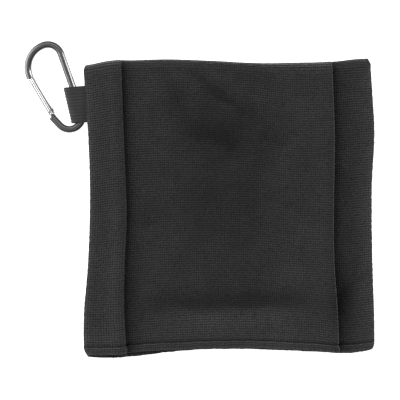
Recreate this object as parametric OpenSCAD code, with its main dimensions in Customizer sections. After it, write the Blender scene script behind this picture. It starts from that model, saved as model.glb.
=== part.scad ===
// Golf towel, pleated and folded in half, with a webbing loop and a small carabiner.
// Lying flat: +Z up, +Y towards the top fold, +X to the right.
// Origin under the middle of the whole outline, on the table.

/* [Towel] */
// width of the folded towel at its middle
folded_w = 192; // [150:1:240]
// height of the folded towel at its left edge, top fold to front hem
folded_h = 197.5; // [150:1:260]
// thickness of one ply of pressed terry cloth
cloth_t = 1.4; // [0.8:0.1:2.2]
// air between two plies
ply_gap = 0.3; // [0.2:0.05:0.6]
// width of the left band, edge to first pleat
left_band_w = 23.6; // [18:0.5:40]
// width of the right band, second pleat to edge
right_band_w = 26.2; // [18:0.5:40]
// how far each pleat tucks back under itself
pleat_depth = 22.6; // [15:0.2:23]
// how far the left edge bows in at the middle
left_bow = 4; // [0:0.5:8]
// how far the bottom edge bows up at the middle
hem_bow = 3; // [0:0.5:6]
// how much lower the back leaf's hem hangs
leaf_lag = 2.6; // [0:0.2:6]
// distance of the hem stitching from the edge
hem_w = 6; // [4:0.5:12]
// length of one stitch
stitch_len = 2.4; // [1.5:0.1:4]

/* [Webbing loop] */
// width of the webbing
webbing_w = 25; // [15:0.5:30]
// thickness of the webbing
webbing_t = 1.2; // [0.8:0.1:1.5]
// distance of the webbing's upper edge below the top fold
webbing_drop = 16.6; // [12:0.2:40]
// lean of the loop's outer edge
loop_lean = 12.9; // [0:0.1:20]
// how deep the sewn tail reaches under the towel's edge
tail_len = 9; // [6:0.5:14]

/* [Carabiner] */
// width of the bar seen from above
bar_w = 4.7; // [3.6:0.1:5]
// thickness of the bar
bar_t = 4.4; // [3.6:0.1:5]
// chamfer of the bar's long edges
bar_chamfer = 1.1; // [0.6:0.1:1.4]
// lean of the spine
spine_lean = 19.4; // [0:0.1:25]
// length of the straight spine
spine_len = 41.4; // [38:0.2:60]
// radius of the corner over the spine
corner_r = 9.45; // [9:0.05:12]
// radius of the wide bow over the gate
bow_r = 15.8; // [15:0.1:18]
// radius of the narrow bow at the bottom
foot_r = 8.8; // [8.2:0.1:9.2]
// outside diameter of the gate tube
gate_d = 4.3; // [4:0.05:4.6]
// bore for the spring and plunger
gate_bore_d = 2.5; // [2.3:0.05:2.6]
// widest gate opening, used by the cam
gate_open_deg = 28; // [15:1:30]

/* [Clearances] */
// running clearance of the hinge rivet, radial
rivet_clear = 0.06; // [0.02:0.01:0.1]
// clearance of flat plates in their slots, each side
slot_clear = 0.15; // [0.1:0.05:0.3]
// space around soft parts
soft_clear = 0.35; // [0.3:0.05:0.6]

/* [Hidden] */
$fn = 64;
eps = 0.01;
lap = 0.3;

pitch = cloth_t + ply_gap;
mid_z = 2.5 * pitch + cloth_t / 2;
stack_t = 5 * pitch + cloth_t;

// outline of the towel
right_x = 118.1;
top_y = 93.2;
left_mid_x = right_x - folded_w;
fold_y = top_y - stack_t / 2;
hem_y = top_y - folded_h;
half_h = folded_h / 2;
mid_y = (top_y + hem_y) / 2;
pleat_a = left_mid_x + left_band_w;
tuck_a = pleat_a - pleat_depth;
pleat_b = right_x - right_band_w;
tuck_b = pleat_b - pleat_depth;
slope_run = 12;

// webbing loop
web_top = fold_y + stack_t / 2 - webbing_drop;
web_bot = web_top - webbing_w;
// the bar may shift by eye_play inside the loop, and must still turn 60 degrees
eye_play = 0.12 * webbing_w - 1.5;
eye_h = bar_w / 2 + eye_play + soft_clear / 2;
eye_r = eye_h + webbing_t;
eye_z = eye_r;
wall_x = left_mid_x - 0.8;
eye_x = wall_x - 9.3;
tail_z1 = 5 * pitch - 0.2;
tail_z0 = tail_z1 - 2 * webbing_t;

// carabiner, in its own frame: x up the spine, y towards the gate
spine_x = left_mid_x - 7.57;
spine_y = web_bot + webbing_w / 2 + 0.8;
spine_lo = 6.95 - 0.53 * webbing_w;
spine_hi = spine_lo + spine_len;
corner_x = spine_hi;
bow_x = corner_x + corner_r - bow_r;
bow_y = corner_r;
nose_x = bow_x - 2.2;
gate_side_y = bow_y + bow_r;
tilt = asin((eye_z - bar_t / 2 - 0.03) / (gate_side_y + bar_w / 2 - bar_chamfer));
shank_deg = 24.5;
shank_len = 7.9;

// gate hinge and gate axis
hinge_x = spine_lo + 7.5;
hinge_y = 2 * foot_r + 2.3;
gate_run = sqrt(pow(nose_x - hinge_x, 2) + pow(gate_side_y - 0.3 - hinge_y, 2));
gate_deg = atan2(gate_side_y - 0.3 - hinge_y, nose_x - hinge_x);
gate_end = gate_run - 0.4;
gate_foot = 2.5;
latch_x = gate_run - 2.3;
latch_r = 0.55;
rivet_r = 0.8;
tongue_t = 1.5;
cam_off = 1.1;
cam_r = 1.5;
plunger_x = cam_r + 0.05;
plunger_len = 4.4;
spring_x = plunger_x + plunger_len + 0.05;
spring_len = 7;
bore_end = spring_x + spring_len + 0.9;
spring_turns = 8;
wire_r = 0.17;

// height of the middle of ply n
function ply_z(n) = cloth_t / 2 + n * pitch;

// left edge and bottom edge bow gently
function left_x(y) = left_mid_x - left_bow * pow((y - mid_y) / half_h, 2);
function bottom_y(x) = hem_y + hem_bow * (1 - pow((x - 20) / 97, 2));

// plan outline of a leaf, bottom edge lowered by lag
module outline(lag) {
    r = 4;
    y0 = hem_y - lag;
    side = [for (i = [0 : 10]) let (y = y0 + r + i * (top_y - y0 - 2 * r) / 10) [left_x(y), y]];
    foot = [for (i = [0 : 10]) let (x = right_x - r - i * (right_x - left_x(hem_y) - 2 * r) / 10)
        [x, bottom_y(x) - lag]];
    polygon(concat(side,
        [[left_x(top_y) + r * 0.3, top_y - r * 0.3], [left_x(top_y) + r, top_y],
        [right_x - r, top_y], [right_x - r * 0.3, top_y - r * 0.3], [right_x, top_y - r],
        [right_x, bottom_y(right_x) - lag + r],
        [right_x - r * 0.3, bottom_y(right_x) - lag + r * 0.3]], foot));
}

// points of a turn of the cloth at x from height za to zb, bulging to side s
function turn(x, za, zb, s) = [for (i = [0 : 8])
    [x + s * pitch / 2 * sin(22.5 * i), (za + zb) / 2 + (za - zb) / 2 * cos(22.5 * i)]];

// unit normal of the step from a to b
function normal(a, b) = [a[1] - b[1], b[0] - a[0]] / norm(b - a);

// points beside a path at distance h, with mitred corners
function beside(p, h) = [for (i = [0 : len(p) - 1])
    let (m = normal(p[max(i - 1, 0)], p[max(i, 1)]),
        n = normal(p[min(i, len(p) - 2)], p[min(i + 1, len(p) - 1)]))
    p[i] + h * (m + n) / (1 + m * n)];

// middle line of a leaf across its width: outer, tucked and main plies, then the lower middle
function leaf_path(outer, step, rest) =
    let (z0 = ply_z(outer), z1 = ply_z(outer + step), z2 = ply_z(outer + 2 * step), zr = ply_z(rest))
    concat([[left_mid_x - left_bow - 6, z0]],
        turn(pleat_a, z0, z1, 1),
        turn(tuck_a, z1, z2, -1),
        [[pleat_a + 2, z2], [pleat_a + 2 + slope_run, zr], [tuck_b - 4 - slope_run, zr], [tuck_b - 4, z0]],
        turn(pleat_b, z0, z1, 1),
        turn(tuck_b, z1, z2, -1),
        [[pleat_b + 2, z2], [pleat_b + 2 + slope_run * 0.8, zr], [right_x + 4, zr]]);

// width section of a leaf
module leaf_section(outer, step, rest) {
    path = leaf_path(outer, step, rest);
    back = beside(path, -cloth_t / 2);
    polygon(concat(beside(path, cloth_t / 2), [for (i = [len(back) - 1 : -1 : 0]) back[i]]));
}

module leaf(outer, step, rest, lag) {
    difference() {
        intersection() {
            translate([0, fold_y - 0.1, 0])
                rotate([90, 0, 0])
                    linear_extrude(folded_h + 20)
                        leaf_section(outer, step, rest);
            translate([0, 0, -5])
                linear_extrude(stack_t + 10)
                    outline(lag);
        }
        loop_pocket();
    }
}

// room for the loop at the towel's edge, and for its tail under the outer ply
module loop_pocket() {
    translate([wall_x - 20, web_bot - soft_clear, -5])
        cube([20 + soft_clear, webbing_w + 2 * soft_clear, stack_t + 10]);
    translate([wall_x - 1, web_bot - soft_clear, tail_z0 - soft_clear / 2])
        cube([tail_len + 1 + 2 * soft_clear, webbing_w + 2 * soft_clear,
            5 * pitch - soft_clear / 2 - tail_z0 + soft_clear / 2]);
}

module towel_back_leaf() {
    color([0.17, 0.17, 0.18])
        leaf(0, 1, 0, leaf_lag);
}

module towel_front_leaf() {
    color([0.20, 0.20, 0.21])
        leaf(5, -1, 1, 0);
}

// half ring round the top fold, joining ply lo to ply hi between x0 and x1
module fold_ring(x0, x1, lo, hi, y) {
    r = (ply_z(hi) - ply_z(lo)) / 2;
    translate([x0, y, (ply_z(hi) + ply_z(lo)) / 2])
        rotate([90, 0, 90])
            linear_extrude(x1 - x0)
                intersection() {
                    difference() {
                        circle(r = r + cloth_t / 2);
                        circle(r = r - cloth_t / 2);
                    }
                    translate([0, -stack_t])
                        square([stack_t, 2 * stack_t]);
                }
}

// the web of cloth where a pleat turns, carried round the top fold
module fold_web(x, lo, hi) {
    r1 = (ply_z(hi) - ply_z(lo)) / 2 + cloth_t / 2;
    translate([x, fold_y, (ply_z(hi) + ply_z(lo)) / 2])
        rotate([90, 0, 90])
            linear_extrude(cloth_t / 2)
                intersection() {
                    difference() {
                        circle(r = r1);
                        circle(r = r1 - cloth_t - pitch);
                    }
                    translate([0, -stack_t])
                        square([stack_t, 2 * stack_t]);
                }
}

// half disc slice, used to run one size of fold into the next
module fold_slice(x, lo, hi, y) {
    translate([x, y, (ply_z(hi) + ply_z(lo)) / 2])
        rotate([90, 0, 90])
            linear_extrude(0.4)
                intersection() {
                    circle(r = (ply_z(hi) - ply_z(lo)) / 2 + cloth_t / 2, $fn = 32);
                    translate([0, -stack_t])
                        square([stack_t, 2 * stack_t]);
                }
}

module towel_top_fold() {
    low_y = top_y - (pitch + cloth_t) / 2;
    x_mid0 = pleat_a + 2 + slope_run;
    x_mid1 = tuck_b - 4 - slope_run;
    color([0.18, 0.18, 0.19]) {
        fold_ring(left_x(top_y) + 1.5, pleat_a + cloth_t / 2, 0, 5, fold_y);
        fold_ring(tuck_a - cloth_t / 2, pleat_a + cloth_t / 2, 1, 4, fold_y);
        fold_ring(tuck_a - cloth_t / 2, pleat_a + 2.2, 2, 3, fold_y);
        fold_web(pleat_a, 0, 5);
        fold_web(tuck_a - cloth_t / 2, 1, 4);
        hull() {
            fold_slice(pleat_a + 2, 2, 3, fold_y);
            fold_slice(x_mid0, 0, 1, low_y);
        }
        fold_ring(x_mid0, x_mid1, 0, 1, low_y);
        translate([x_mid0, fold_y, 0])
            cube([x_mid1 - x_mid0, low_y - fold_y + eps, cloth_t]);
        translate([x_mid0, fold_y, pitch])
            cube([x_mid1 - x_mid0, low_y - fold_y + eps, cloth_t]);
        hull() {
            fold_slice(x_mid1 - 0.4, 0, 1, low_y);
            fold_slice(tuck_b - 4, 0, 5, fold_y);
        }
        fold_ring(tuck_b - 4, pleat_b + cloth_t / 2, 0, 5, fold_y);
        fold_ring(tuck_b - cloth_t / 2, pleat_b + cloth_t / 2, 1, 4, fold_y);
        fold_ring(tuck_b - cloth_t / 2, right_x - 1.5, 2, 3, fold_y);
        fold_web(pleat_b, 0, 5);
        fold_web(tuck_b - cloth_t / 2, 1, 4);
    }
}

// height of a leaf's outer face at x, for the stitches that show
function front_z(x) =
    x < pleat_a ? ply_z(5) :
    x < pleat_a + 2 ? ply_z(3) :
    x < pleat_a + 2 + slope_run ? ply_z(3) - 2 * pitch * (x - pleat_a - 2) / slope_run :
    x < tuck_b - 4 - slope_run ? ply_z(1) :
    x < tuck_b - 4 ? ply_z(1) + 4 * pitch * (x - tuck_b + 4 + slope_run) / slope_run :
    x < pleat_b ? ply_z(5) :
    x < pleat_b + 2 ? ply_z(3) :
    x < pleat_b + 2 + slope_run * 0.8 ?
        ply_z(3) - 2 * pitch * (x - pleat_b - 2) / (slope_run * 0.8) : ply_z(1);

// a run of lockstitches at height z between x0 and x1
module stitch_run(x0, x1, lag, up) {
    count = floor((x1 - x0) / (stitch_len * 1.3));
    for (i = [0 : count - 1]) {
        x = x0 + (i + 0.5) * (x1 - x0) / count;
        z = up ? front_z(x) + cloth_t / 2 - 0.35 : -0.1 + cloth_t / 2;
        translate([x, bottom_y(x) - lag + hem_w, z])
            cube([stitch_len, 0.5, 0.7], center = true);
    }
}

module front_hem_thread() {
    color([0.10, 0.10, 0.11]) {
        stitch_run(left_x(hem_y) + 5, pleat_a - 2, 0, true);
        stitch_run(pleat_a + slope_run + 3, tuck_b - slope_run - 6, 0, true);
        stitch_run(tuck_b - 2, pleat_b - 2, 0, true);
        stitch_run(pleat_b + slope_run + 1, right_x - 4, 0, true);
    }
}

// the back leaf's stitches, drawn where its lower ply shows below
module back_hem_thread() {
    color([0.10, 0.10, 0.11]) {
        stitch_run(left_x(hem_y) + 5, pleat_a - 2, leaf_lag, false);
        stitch_run(pleat_a + slope_run + 3, right_x - 4, leaf_lag, false);
    }
}

// rounded slot outline of radius r, open far to the right
module slot(r) {
    circle(r = r);
    translate([0, -r])
        square([30, 2 * r]);
}

// webbing folded round the spine and closed by a wall at the towel's edge
module webbing_loop() {
    color([0.16, 0.16, 0.17])
        intersection() {
            translate([wall_x - 40, web_bot, -1])
                cube([40, webbing_w, 2 * eye_r + 2]);
            translate([eye_x, spine_y, eye_z])
                rotate([0, 0, loop_lean])
                    rotate([90, 0, 0])
                        linear_extrude(2 * webbing_w + 10, center = true)
                            difference() {
                                slot(eye_r);
                                slot(eye_h);
                            }
        }
    color([0.16, 0.16, 0.17])
        translate([wall_x - webbing_t, web_bot, webbing_t / 2])
            cube([webbing_t, webbing_w, 2 * eye_r - webbing_t]);
}

module webbing_tail() {
    color([0.16, 0.16, 0.17])
        translate([wall_x + 0.1, web_bot, tail_z0])
            cube([tail_len, webbing_w, 2 * webbing_t]);
}

// three bar tacks that hold the tail to the outer ply
module loop_tack_thread() {
    color([0.10, 0.10, 0.11])
        for (i = [-1 : 1])
            translate([wall_x + tail_len / 2, (web_top + web_bot) / 2 + i * webbing_w / 3, tail_z1 + 0.25])
                cube([tail_len * 0.6, 1.2, 0.9], center = true);
}

// places the carabiner: leaning in plan, and tipped until the gate side touches the table
module carabiner_frame() {
    translate([spine_x, spine_y, eye_z])
        rotate([0, 0, 90 + spine_lean])
            rotate([-tilt, 0, 0])
                children();
}

// gate frame: origin at the hinge, x along the gate
module gate_frame() {
    carabiner_frame()
        translate([hinge_x, hinge_y, 0])
            rotate([0, 0, gate_deg])
                children();
}

// section of the bar: flat faces with chamfered edges, less a skin
module bar_section(skin = 0) {
    w = bar_w / 2 - skin;
    h = bar_t / 2 - skin;
    c = bar_chamfer;
    polygon([[w, h - c], [w - c, h], [c - w, h], [-w, h - c],
        [-w, c - h], [c - w, -h], [w - c, -h], [w, c - h]]);
}

// bend of the bar about a point, from angle a0 over angle a
module bend(p, r, a0, a) {
    translate(p)
        rotate([0, 0, a0])
            rotate_extrude(angle = a, $fn = 96)
                translate([r, 0])
                    bar_section();
}

// straight run of the bar from a point along a direction
module run(p, deg, len, skin = 0) {
    translate(p)
        rotate([0, 0, deg])
            rotate([90, 0, 90])
                linear_extrude(len)
                    bar_section(skin);
}

// flat tongue of the lower end, with the cam that lifts the plunger
module hinge_tongue() {
    translate([0, 0, -tongue_t / 2])
        linear_extrude(tongue_t)
            difference() {
                union() {
                    translate([-4.4, -1.9])
                        square([4.4, 3.2]);
                    circle(r = 1.4);
                    translate([0, -cam_off])
                        circle(r = cam_r);
                }
                circle(r = rivet_r + rivet_clear);
            }
}

// flat tongue of the nose, notched from the inside for the latch pin
module nose_tongue() {
    gap = latch_r + 0.12;
    translate([0, 0, -tongue_t / 2])
        linear_extrude(tongue_t)
            difference() {
                translate([latch_x - 1.3, -1.6])
                    square([gate_run + 0.9 - latch_x + 1.3, 3.2]);
                translate([latch_x, 0])
                    circle(r = gap);
                translate([latch_x - gap, -3])
                    square([2 * gap, 3]);
            }
}

module carabiner_body() {
    foot = [spine_lo, foot_r, 0];
    tangent = foot + foot_r * [-sin(shank_deg), cos(shank_deg), 0];
    color([0.22, 0.22, 0.23]) {
        carabiner_frame() {
            run([spine_lo, 0, 0], 0, spine_len);
            bend([corner_x, corner_r, 0], corner_r, -90, 90);
            bend([bow_x, bow_y, 0], bow_r, 0, 90);
            run([nose_x + 0.1, gate_side_y, 0], 0, bow_x - nose_x - 0.1);
            bend(foot, foot_r, -90, shank_deg - 180);
            run(tangent - lap * [cos(shank_deg), sin(shank_deg), 0], shank_deg, shank_len + lap, 0.02);
        }
        gate_frame() {
            hinge_tongue();
            nose_tongue();
        }
    }
}

module gate_tube() {
    slot_h = tongue_t / 2 + slot_clear;
    color([0.80, 0.80, 0.82])
        gate_frame()
            difference() {
                translate([-gate_foot, 0, 0])
                    rotate([0, 90, 0])
                        cylinder(d = gate_d, h = gate_end + gate_foot);
                rotate([0, 90, 0])
                    cylinder(d = gate_bore_d, h = bore_end);
                translate([-gate_foot - 1, -gate_d, -slot_h])
                    cube([gate_foot + 1 + 3.2, 2 * gate_d, 2 * slot_h]);
                translate([latch_x - 2, -gate_d, -slot_h])
                    cube([8, 2 * gate_d, 2 * slot_h]);
                translate([0, 0, -gate_d])
                    cylinder(r = rivet_r, h = 2 * gate_d);
                translate([latch_x, 0, -gate_d])
                    cylinder(r = latch_r, h = 2 * gate_d);
            }
}

module gate_hinge_rivet() {
    color([0.70, 0.70, 0.72])
        gate_frame() {
            translate([0, 0, -gate_d / 2])
                cylinder(r = rivet_r, h = gate_d);
            for (s = [0, 1])
                mirror([0, 0, s])
                    translate([0, 0, gate_d / 2])
                        cylinder(r1 = rivet_r + 0.25, r2 = rivet_r - 0.2, h = 0.25);
        }
}

module gate_latch_pin() {
    color([0.70, 0.70, 0.72])
        gate_frame()
            translate([latch_x, 0, -gate_d / 2 + 0.1])
                cylinder(r = latch_r, h = gate_d - 0.2);
}

// closed ring of points round the wire at turn angle a
function wire_ring(a, r, run_x) = [for (k = [0 : 5])
    [run_x + wire_r * sin(60 * k), (r + wire_r * cos(60 * k)) * cos(a), (r + wire_r * cos(60 * k)) * sin(a)]];

module gate_spring() {
    steps = spring_turns * 14;
    r = gate_bore_d / 2 - wire_r - 0.12;
    rings = [for (i = [0 : steps]) wire_ring(i * 360 / 14, r, i * (spring_len - 2 * wire_r) / steps + wire_r)];
    pts = [for (ring = rings) for (p = ring) p];
    walls = [for (i = [0 : steps - 1]) for (k = [0 : 5])
        [i * 6 + k, i * 6 + (k + 1) % 6, (i + 1) * 6 + (k + 1) % 6, (i + 1) * 6 + k]];
    caps = [[5, 4, 3, 2, 1, 0], [for (k = [0 : 5]) steps * 6 + k]];
    color([0.60, 0.60, 0.62])
        gate_frame()
            translate([spring_x, 0, 0])
                polyhedron(points = pts, faces = concat(walls, caps));
}

module gate_plunger() {
    color([0.62, 0.60, 0.55])
        gate_frame()
            translate([plunger_x, 0, 0])
                rotate([0, 90, 0])
                    cylinder(d = gate_bore_d - 0.16, h = plunger_len);
}

towel_back_leaf();
towel_front_leaf();
towel_top_fold();
back_hem_thread();
front_hem_thread();
webbing_loop();
webbing_tail();
loop_tack_thread();
carabiner_body();
gate_tube();
gate_hinge_rivet();
gate_latch_pin();
gate_spring();
gate_plunger();
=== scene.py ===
# %% [markdown]
# # Golf towel with a webbing loop and a small carabiner
# A charcoal terry towel is pleated lengthwise twice, folded in half and laid flat. A loop of ribbed
# webbing comes out from under its left edge and holds a small dark carabiner with a bright gate.
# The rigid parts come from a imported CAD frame, and every soft surface here is worked out in that
# same frame: +Z up out of the table, +Y towards the top fold, +X to the right, in metres.

import bmesh
import bpy
import numpy as np
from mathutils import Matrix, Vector


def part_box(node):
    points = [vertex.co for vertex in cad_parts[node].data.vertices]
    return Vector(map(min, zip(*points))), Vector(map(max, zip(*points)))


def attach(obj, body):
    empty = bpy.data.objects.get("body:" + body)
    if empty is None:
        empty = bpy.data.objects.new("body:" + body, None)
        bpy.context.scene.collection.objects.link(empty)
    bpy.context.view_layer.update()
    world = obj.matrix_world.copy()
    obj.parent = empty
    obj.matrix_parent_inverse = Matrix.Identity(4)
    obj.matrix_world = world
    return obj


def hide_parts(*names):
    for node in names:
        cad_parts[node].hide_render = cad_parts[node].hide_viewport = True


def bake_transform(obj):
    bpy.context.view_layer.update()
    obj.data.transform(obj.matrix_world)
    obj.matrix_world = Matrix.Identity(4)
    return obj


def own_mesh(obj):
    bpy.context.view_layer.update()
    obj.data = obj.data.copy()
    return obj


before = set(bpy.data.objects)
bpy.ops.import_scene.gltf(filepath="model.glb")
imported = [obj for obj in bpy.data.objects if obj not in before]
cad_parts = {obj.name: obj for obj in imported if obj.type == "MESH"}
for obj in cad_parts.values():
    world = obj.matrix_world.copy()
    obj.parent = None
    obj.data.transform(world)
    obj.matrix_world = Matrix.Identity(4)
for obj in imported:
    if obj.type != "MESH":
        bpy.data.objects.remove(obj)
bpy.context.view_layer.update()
MM = 0.001


def corners(node):
    """A CAD node's box at rest, in millimetres, as two arrays: lowest corner, highest corner."""
    low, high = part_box(node)
    return np.array(low) / MM, np.array(high) / MM


front_low, front_high = corners("towel_front_leaf")
back_low, _ = corners("towel_back_leaf")
fold_low, fold_high = corners("towel_top_fold")
print("towel spans", np.round(back_low, 1), "to", np.round(front_high, 1), "mm")

# %% [markdown]
# ## Driving sizes
# The frame fixes where the towel's edges are and how high its stack of six plies stands. What the
# frame's plain slabs leave out is named here once, in millimetres.

# %% Sizes
ply = 1.4
pitch = (fold_high[2] - ply) / 5
cloth = 1.62
right_x = front_high[0]
top_y = fold_high[1]
hem_y = front_low[1]
lag = front_low[1] - back_low[1]
pleat_a, pleat_b, tuck = -52.6, 89.3, 22.6
web_t = 1.2
print("ply pitch %.2f mm, stack %.1f mm, back leaf hangs %.1f mm lower" % (pitch, fold_high[2], lag))


# %% [markdown]
# ## Small tools
# A smooth curve through a few named points does for every drifting edge. Meshes are made from whole
# numpy arrays, with the faces of a grid worked out from its index table.

# %% Curves and meshes
def through(t, knots, values):
    """Smooth curve through points: cubic Hermite pieces whose slopes are the neighbours' mean slope."""
    knots, values = np.array(knots, float), np.array(values, float)
    slope = np.gradient(values, knots)
    t = np.clip(t, knots[0], knots[-1])
    i = np.clip(np.searchsorted(knots, t) - 1, 0, len(knots) - 2)
    h = knots[i + 1] - knots[i]
    u = (t - knots[i]) / h
    return (
        values[i] * (1 + 2 * u) * (1 - u) ** 2
        + values[i + 1] * u**2 * (3 - 2 * u)
        + h * (slope[i] * u * (1 - u) ** 2 - slope[i + 1] * u**2 * (1 - u))
    )


def step(t, a, b):
    """0 before a, 1 after b, and a smooth S between them (3u^2 - 2u^3)."""
    u = np.clip((t - a) / (b - a), 0, 1)
    return u * u * (3 - 2 * u)


def hill(t, centre, width):
    """Bell curve of height 1 at centre, falling to 0.61 one width away."""
    return np.exp(-0.5 * ((t - centre) / width) ** 2)


def ripple(x, y, size, seed, octaves=3):
    """Soft seeded unevenness between about -1 and 1: sums of sine waves in random directions."""
    rng = np.random.default_rng(seed)
    total = np.zeros(np.broadcast(x, y).shape)
    weight = 0.0
    for octave in range(octaves):
        for _ in range(5):
            angle, phase = rng.uniform(0, 2 * np.pi, 2)
            k = 2 * np.pi / size * 1.9**octave * rng.uniform(0.7, 1.3)
            share = 0.55**octave
            total = total + share * np.sin(k * (x * np.cos(angle) + y * np.sin(angle)) + phase)
            weight += share**2
    return total / np.sqrt(weight) / 1.4


def grid_faces(rows, cols, close_rows=False, close_cols=False):
    """Quads of a rows by cols table of points, wrapped round where asked."""
    index = np.arange(rows * cols).reshape(rows, cols)
    if close_rows:
        index = np.vstack([index, index[:1]])
    if close_cols:
        index = np.hstack([index, index[:, :1]])
    return np.stack([index[:-1, :-1], index[:-1, 1:], index[1:, 1:], index[1:, :-1]], -1).reshape(-1, 4)


def mesh_object(name, points, faces, uv=None, smooth=True):
    """Mesh from points in millimetres and a table of faces; uv holds one pair per point."""
    mesh = bpy.data.meshes.new(name)
    mesh.from_pydata((np.asarray(points, float) * MM).tolist(), [], [list(map(int, f)) for f in faces])
    mesh.polygons.foreach_set("use_smooth", [smooth] * len(mesh.polygons))
    if uv is not None:
        loops = np.zeros(len(mesh.loops), np.int32)
        mesh.loops.foreach_get("vertex_index", loops)
        layer = mesh.uv_layers.new(name="UVMap")
        layer.data.foreach_set("uv", np.asarray(uv, np.float32)[loops].ravel())
    mesh.update()
    piece = bpy.data.objects.new(name, mesh)
    bpy.context.scene.collection.objects.link(piece)
    return piece


def shell(name, outside, inside, across, along):
    """Closed mesh between two tables of points, joined round the rim; UV is metres across and along."""
    rows, cols = outside.shape[:2]
    count = rows * cols
    index = np.arange(count).reshape(rows, cols)
    rim = np.concatenate([index[:, 0], index[-1, 1:], index[-2::-1, -1], index[0, -2:0:-1]])
    after = np.roll(rim, -1)
    rim_faces = np.stack([rim, rim + count, after + count, after], -1)
    top_faces = grid_faces(rows, cols)
    faces = np.concatenate([top_faces, top_faces[:, ::-1] + count, rim_faces])
    uv = np.stack(np.meshgrid(across, along, indexing="ij"), -1).reshape(-1, 2) * MM
    points = np.concatenate([outside.reshape(-1, 3), inside.reshape(-1, 3)])
    return mesh_object(name, points, faces, np.vstack([uv, uv]))


def sheet_normal(table):
    """Unit normal at each point of a table: the cross product of its slopes in both directions."""
    normal = np.cross(np.gradient(table, axis=0), np.gradient(table, axis=1))
    return normal / np.maximum(np.linalg.norm(normal, axis=-1, keepdims=True), 1e-9)


def face_outward(piece):
    """Turns every face of a closed mesh to look outward."""
    bm = bmesh.new()
    bm.from_mesh(piece.data)
    bmesh.ops.recalc_face_normals(bm, faces=bm.faces)
    bm.to_mesh(piece.data)
    bm.free()


# %% [markdown]
# ## Materials
# Colours are given as they look on a screen and turned to linear light by one function. One helper
# adds a node, sets its values and links its inputs, and every material is built with it.

# %% Colour and node helpers
def linear(code):
    """sRGB hex to linear RGBA: below 0.04045 divide by 12.92, above it ((c + 0.055) / 1.055) to the 2.4."""
    c = np.array([int(code[i : i + 2], 16) for i in (1, 3, 5)]) / 255
    c = np.where(c <= 0.04045, c / 12.92, ((c + 0.055) / 1.055) ** 2.4)
    return (*c.tolist(), 1.0)


def add(tree, kind, settings=None, **inputs):
    """Adds a node, applies its settings, then sets or links each input.

    In an input's name an underscore stands for a space, and in_N is input number N.
    """
    node = tree.nodes.new(kind)
    for key, value in (settings or {}).items():
        setattr(node, key, value)
    for key, value in inputs.items():
        socket = node.inputs[int(key[3:])] if key.startswith("in_") else node.inputs[key.replace("_", " ")]
        if isinstance(value, bpy.types.NodeSocket):
            tree.links.new(value, socket)
        else:
            socket.default_value = value
    return node


def material(name, viewport):
    """An empty material with its viewport colour, and its node tree; coat adds the output."""
    mat = bpy.data.materials.new(name)
    mat.use_nodes = True
    mat.node_tree.nodes.clear()
    mat.diffuse_color = linear(viewport)
    return mat, mat.node_tree


def maths(tree, operation, *terms):
    """The result of one math node on numbers or sockets."""
    inputs = {"in_%d" % i: term for i, term in enumerate(terms)}
    return add(tree, "ShaderNodeMath", {"operation": operation}, **inputs).outputs[0]


def uneven_gloss(tree, scale, detail, low, high):
    """A fine noise, and a roughness that wanders with it between low and high."""
    place = add(tree, "ShaderNodeTexCoord")
    marks = add(tree, "ShaderNodeTexNoise", Vector=place.outputs["Object"], Scale=scale, Detail=detail)
    spread = {"From_Min": 0.3, "From_Max": 0.7, "To_Min": low, "To_Max": high}
    return marks.outputs[0], add(tree, "ShaderNodeMapRange", Value=marks.outputs[0], **spread).outputs[0]


def coat(tree, **looks):
    """A principled surface with these looks, joined to the material's output."""
    surface = add(tree, "ShaderNodeBsdfPrincipled", **looks)
    add(tree, "ShaderNodeOutputMaterial", Surface=surface.outputs[0])


# %% [markdown]
# ### Microfibre terry
# Warp-knitted microfibre terry is dyed polyester and polyamide: rows of tiny pile loops stand on a
# knitted ground, so the eye sees fine courses across the cloth, a soft grain of loops and a pale
# bloom where the pile is seen edge-on. The courses are a sine along the cloth's length, the loops a
# cell pattern, and the bloom is sheen.

# %% Terry material
course, wale, loop_size = 1.62, 1.45, 1.3
wander = 0.0007
terry, t = material("microfibre_terry_charcoal", "#343435")
uv = add(t, "ShaderNodeUVMap", {"uv_map": "UVMap"})
wobble = add(t, "ShaderNodeTexNoise", Vector=uv.outputs["UV"], Scale=240.0, Detail=2.0)
axes = add(t, "ShaderNodeSeparateXYZ", Vector=uv.outputs["UV"])
waves = []
for axis, size in (("Y", course), ("X", wale)):
    shift = maths(t, "MULTIPLY_ADD", wobble.outputs[0], wander, axes.outputs[axis])
    waves.append(maths(t, "SINE", maths(t, "MULTIPLY", shift, 2 * np.pi / (size * MM))))
rows = maths(t, "MULTIPLY_ADD", waves[1], 0.55, waves[0])
loops = add(
    t,
    "ShaderNodeTexVoronoi",
    {"feature": "F1"},
    Vector=uv.outputs["UV"],
    Scale=1 / (loop_size * MM),
    Randomness=1.0,
)
fluff = add(t, "ShaderNodeTexNoise", Vector=uv.outputs["UV"], Scale=1400.0, Detail=4.0, Roughness=0.7)
relief = maths(t, "MULTIPLY_ADD", loops.outputs["Distance"], -1.6, rows)
height = maths(t, "MULTIPLY_ADD", fluff.outputs[0], 1.8, relief)
# Colour follows the relief: painted shade in the hollows of the knit, and random tone from the noise.
shade = add(t, "ShaderNodeMapRange", Value=height, From_Min=-1.6, From_Max=1.6)
pile = add(t, "ShaderNodeValToRGB", Fac=shade.outputs[0])
pile.color_ramp.elements[0].color = linear("#121213")
pile.color_ramp.elements[1].color = linear("#353536")
# The cloth's own random tone with painted light and painted shade on top, built further down.
tone_and_painted_light_in = add(t, "ShaderNodeAttribute", {"attribute_name": "tone_and_painted_light"})
pile_with_painted_light = add(t, "ShaderNodeHueSaturation", Color=pile.outputs[0], Value=tone_and_painted_light_in.outputs["Fac"])
bump = add(t, "ShaderNodeBump", Height=height, Strength=0.75, Distance=0.00035)
coat(
    t,
    Base_Color=pile_with_painted_light.outputs[0],
    Roughness=0.95,
    Normal=bump.outputs[0],
    Sheen_Weight=0.2,
    Sheen_Roughness=0.45,
    Specular_IOR_Level=0.15,
)
print("made", terry.name)

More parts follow.
